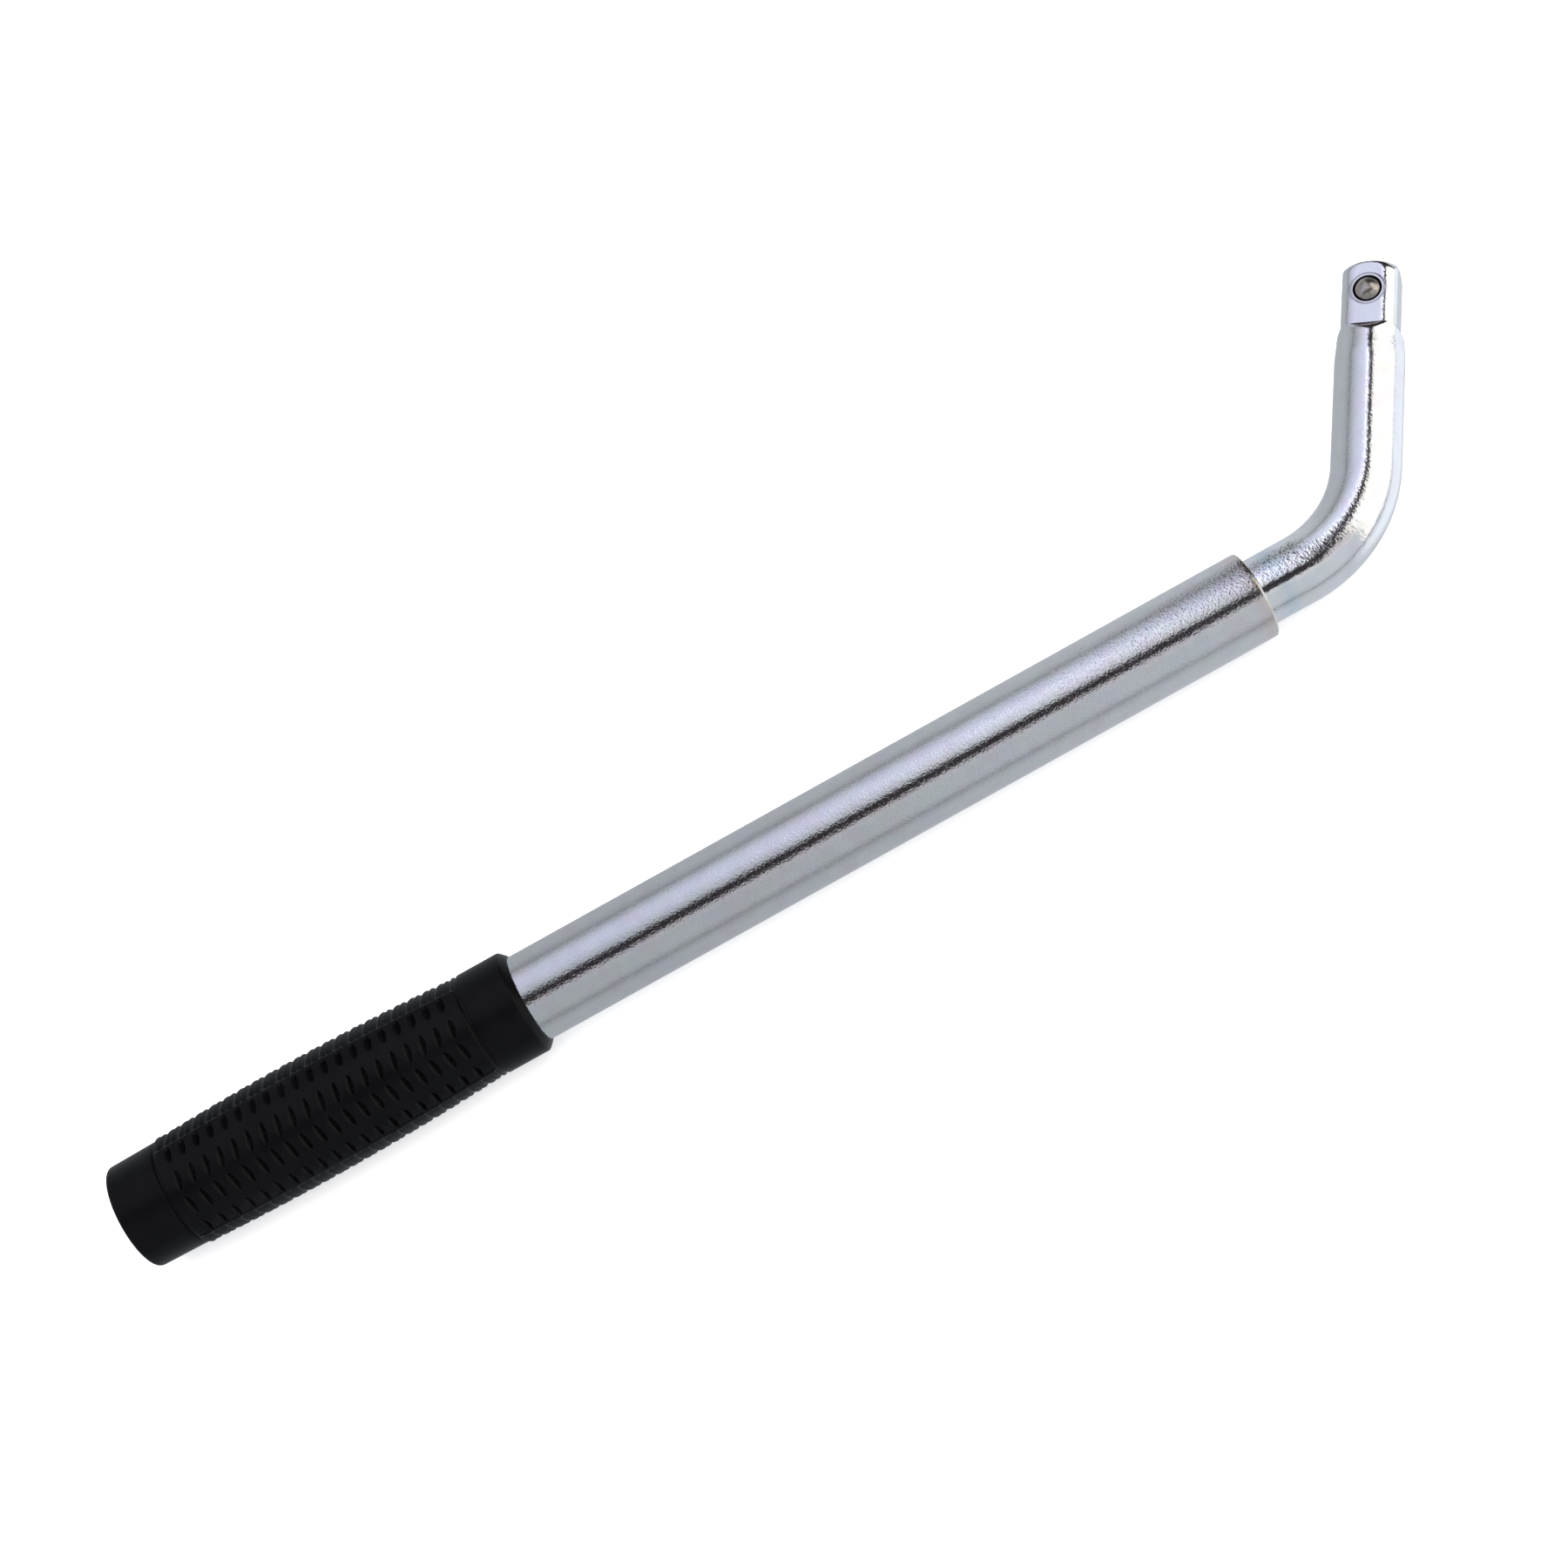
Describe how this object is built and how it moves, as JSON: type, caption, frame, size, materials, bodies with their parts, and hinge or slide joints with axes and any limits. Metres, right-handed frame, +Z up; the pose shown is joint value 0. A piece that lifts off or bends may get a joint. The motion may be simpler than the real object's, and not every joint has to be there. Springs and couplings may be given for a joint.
{
  "type": "lug wrench",
  "caption": "Telescoping lug wrench: gripped plated tube, a bent bar sliding and turning in it, and a half-inch square drive with a sprung detent ball.",
  "frame": {"origin": "centre of the wrench's footprint, on the plane that its side lies on", "axes": "+X along the tube from the grip to the mouth, +Y to the side that the arm bends to, +Z up out of the plane of the bend, on the detent ball's side"},
  "size_m": [0.3598, 0.0726, 0.0282],
  "materials": {
    "plated_tube": "bright zinc plating with fine lengthwise grain",
    "plated_bar": "bright zinc plating over a forged bar",
    "grip_moulding": "satin black moulding with ribs",
    "nylon": "natural nylon",
    "spring_steel": "oiled spring steel",
    "ball_steel": "polished hardened steel, darkened"
  },
  "bodies": {
    "handle": {"outer_tube": "plated_tube", "grip": "grip_moulding", "bump_plug": "nylon"},
    "slide_rings": {"stop_ring": "spring_steel", "friction_ring": "nylon"},
    "bar": {"drive_bar": "plated_bar", "detent_spring": "spring_steel"},
    "ball": {"detent_ball": "ball_steel"}
  },
  "joints": [
    {"name": "telescope", "type": "slide", "parent": "handle", "child": "slide_rings", "axis": [1, 0, 0], "range_m": [0, 0.178]},
    {"name": "swivel", "type": "hinge", "parent": "slide_rings", "child": "bar", "pos_m": [0.11093, -0.02219, 0.0141], "axis": [1, 0, 0], "continuous": true},
    {"name": "ball_press", "type": "slide", "parent": "bar", "child": "ball", "axis": [0.16, -0.1039, -0.9816], "range_m": [0, 0.0018], "stiffness_N_per_m": 2500, "springref_m": -0.003, "deforming": ["detent_spring"]}
  ]
}
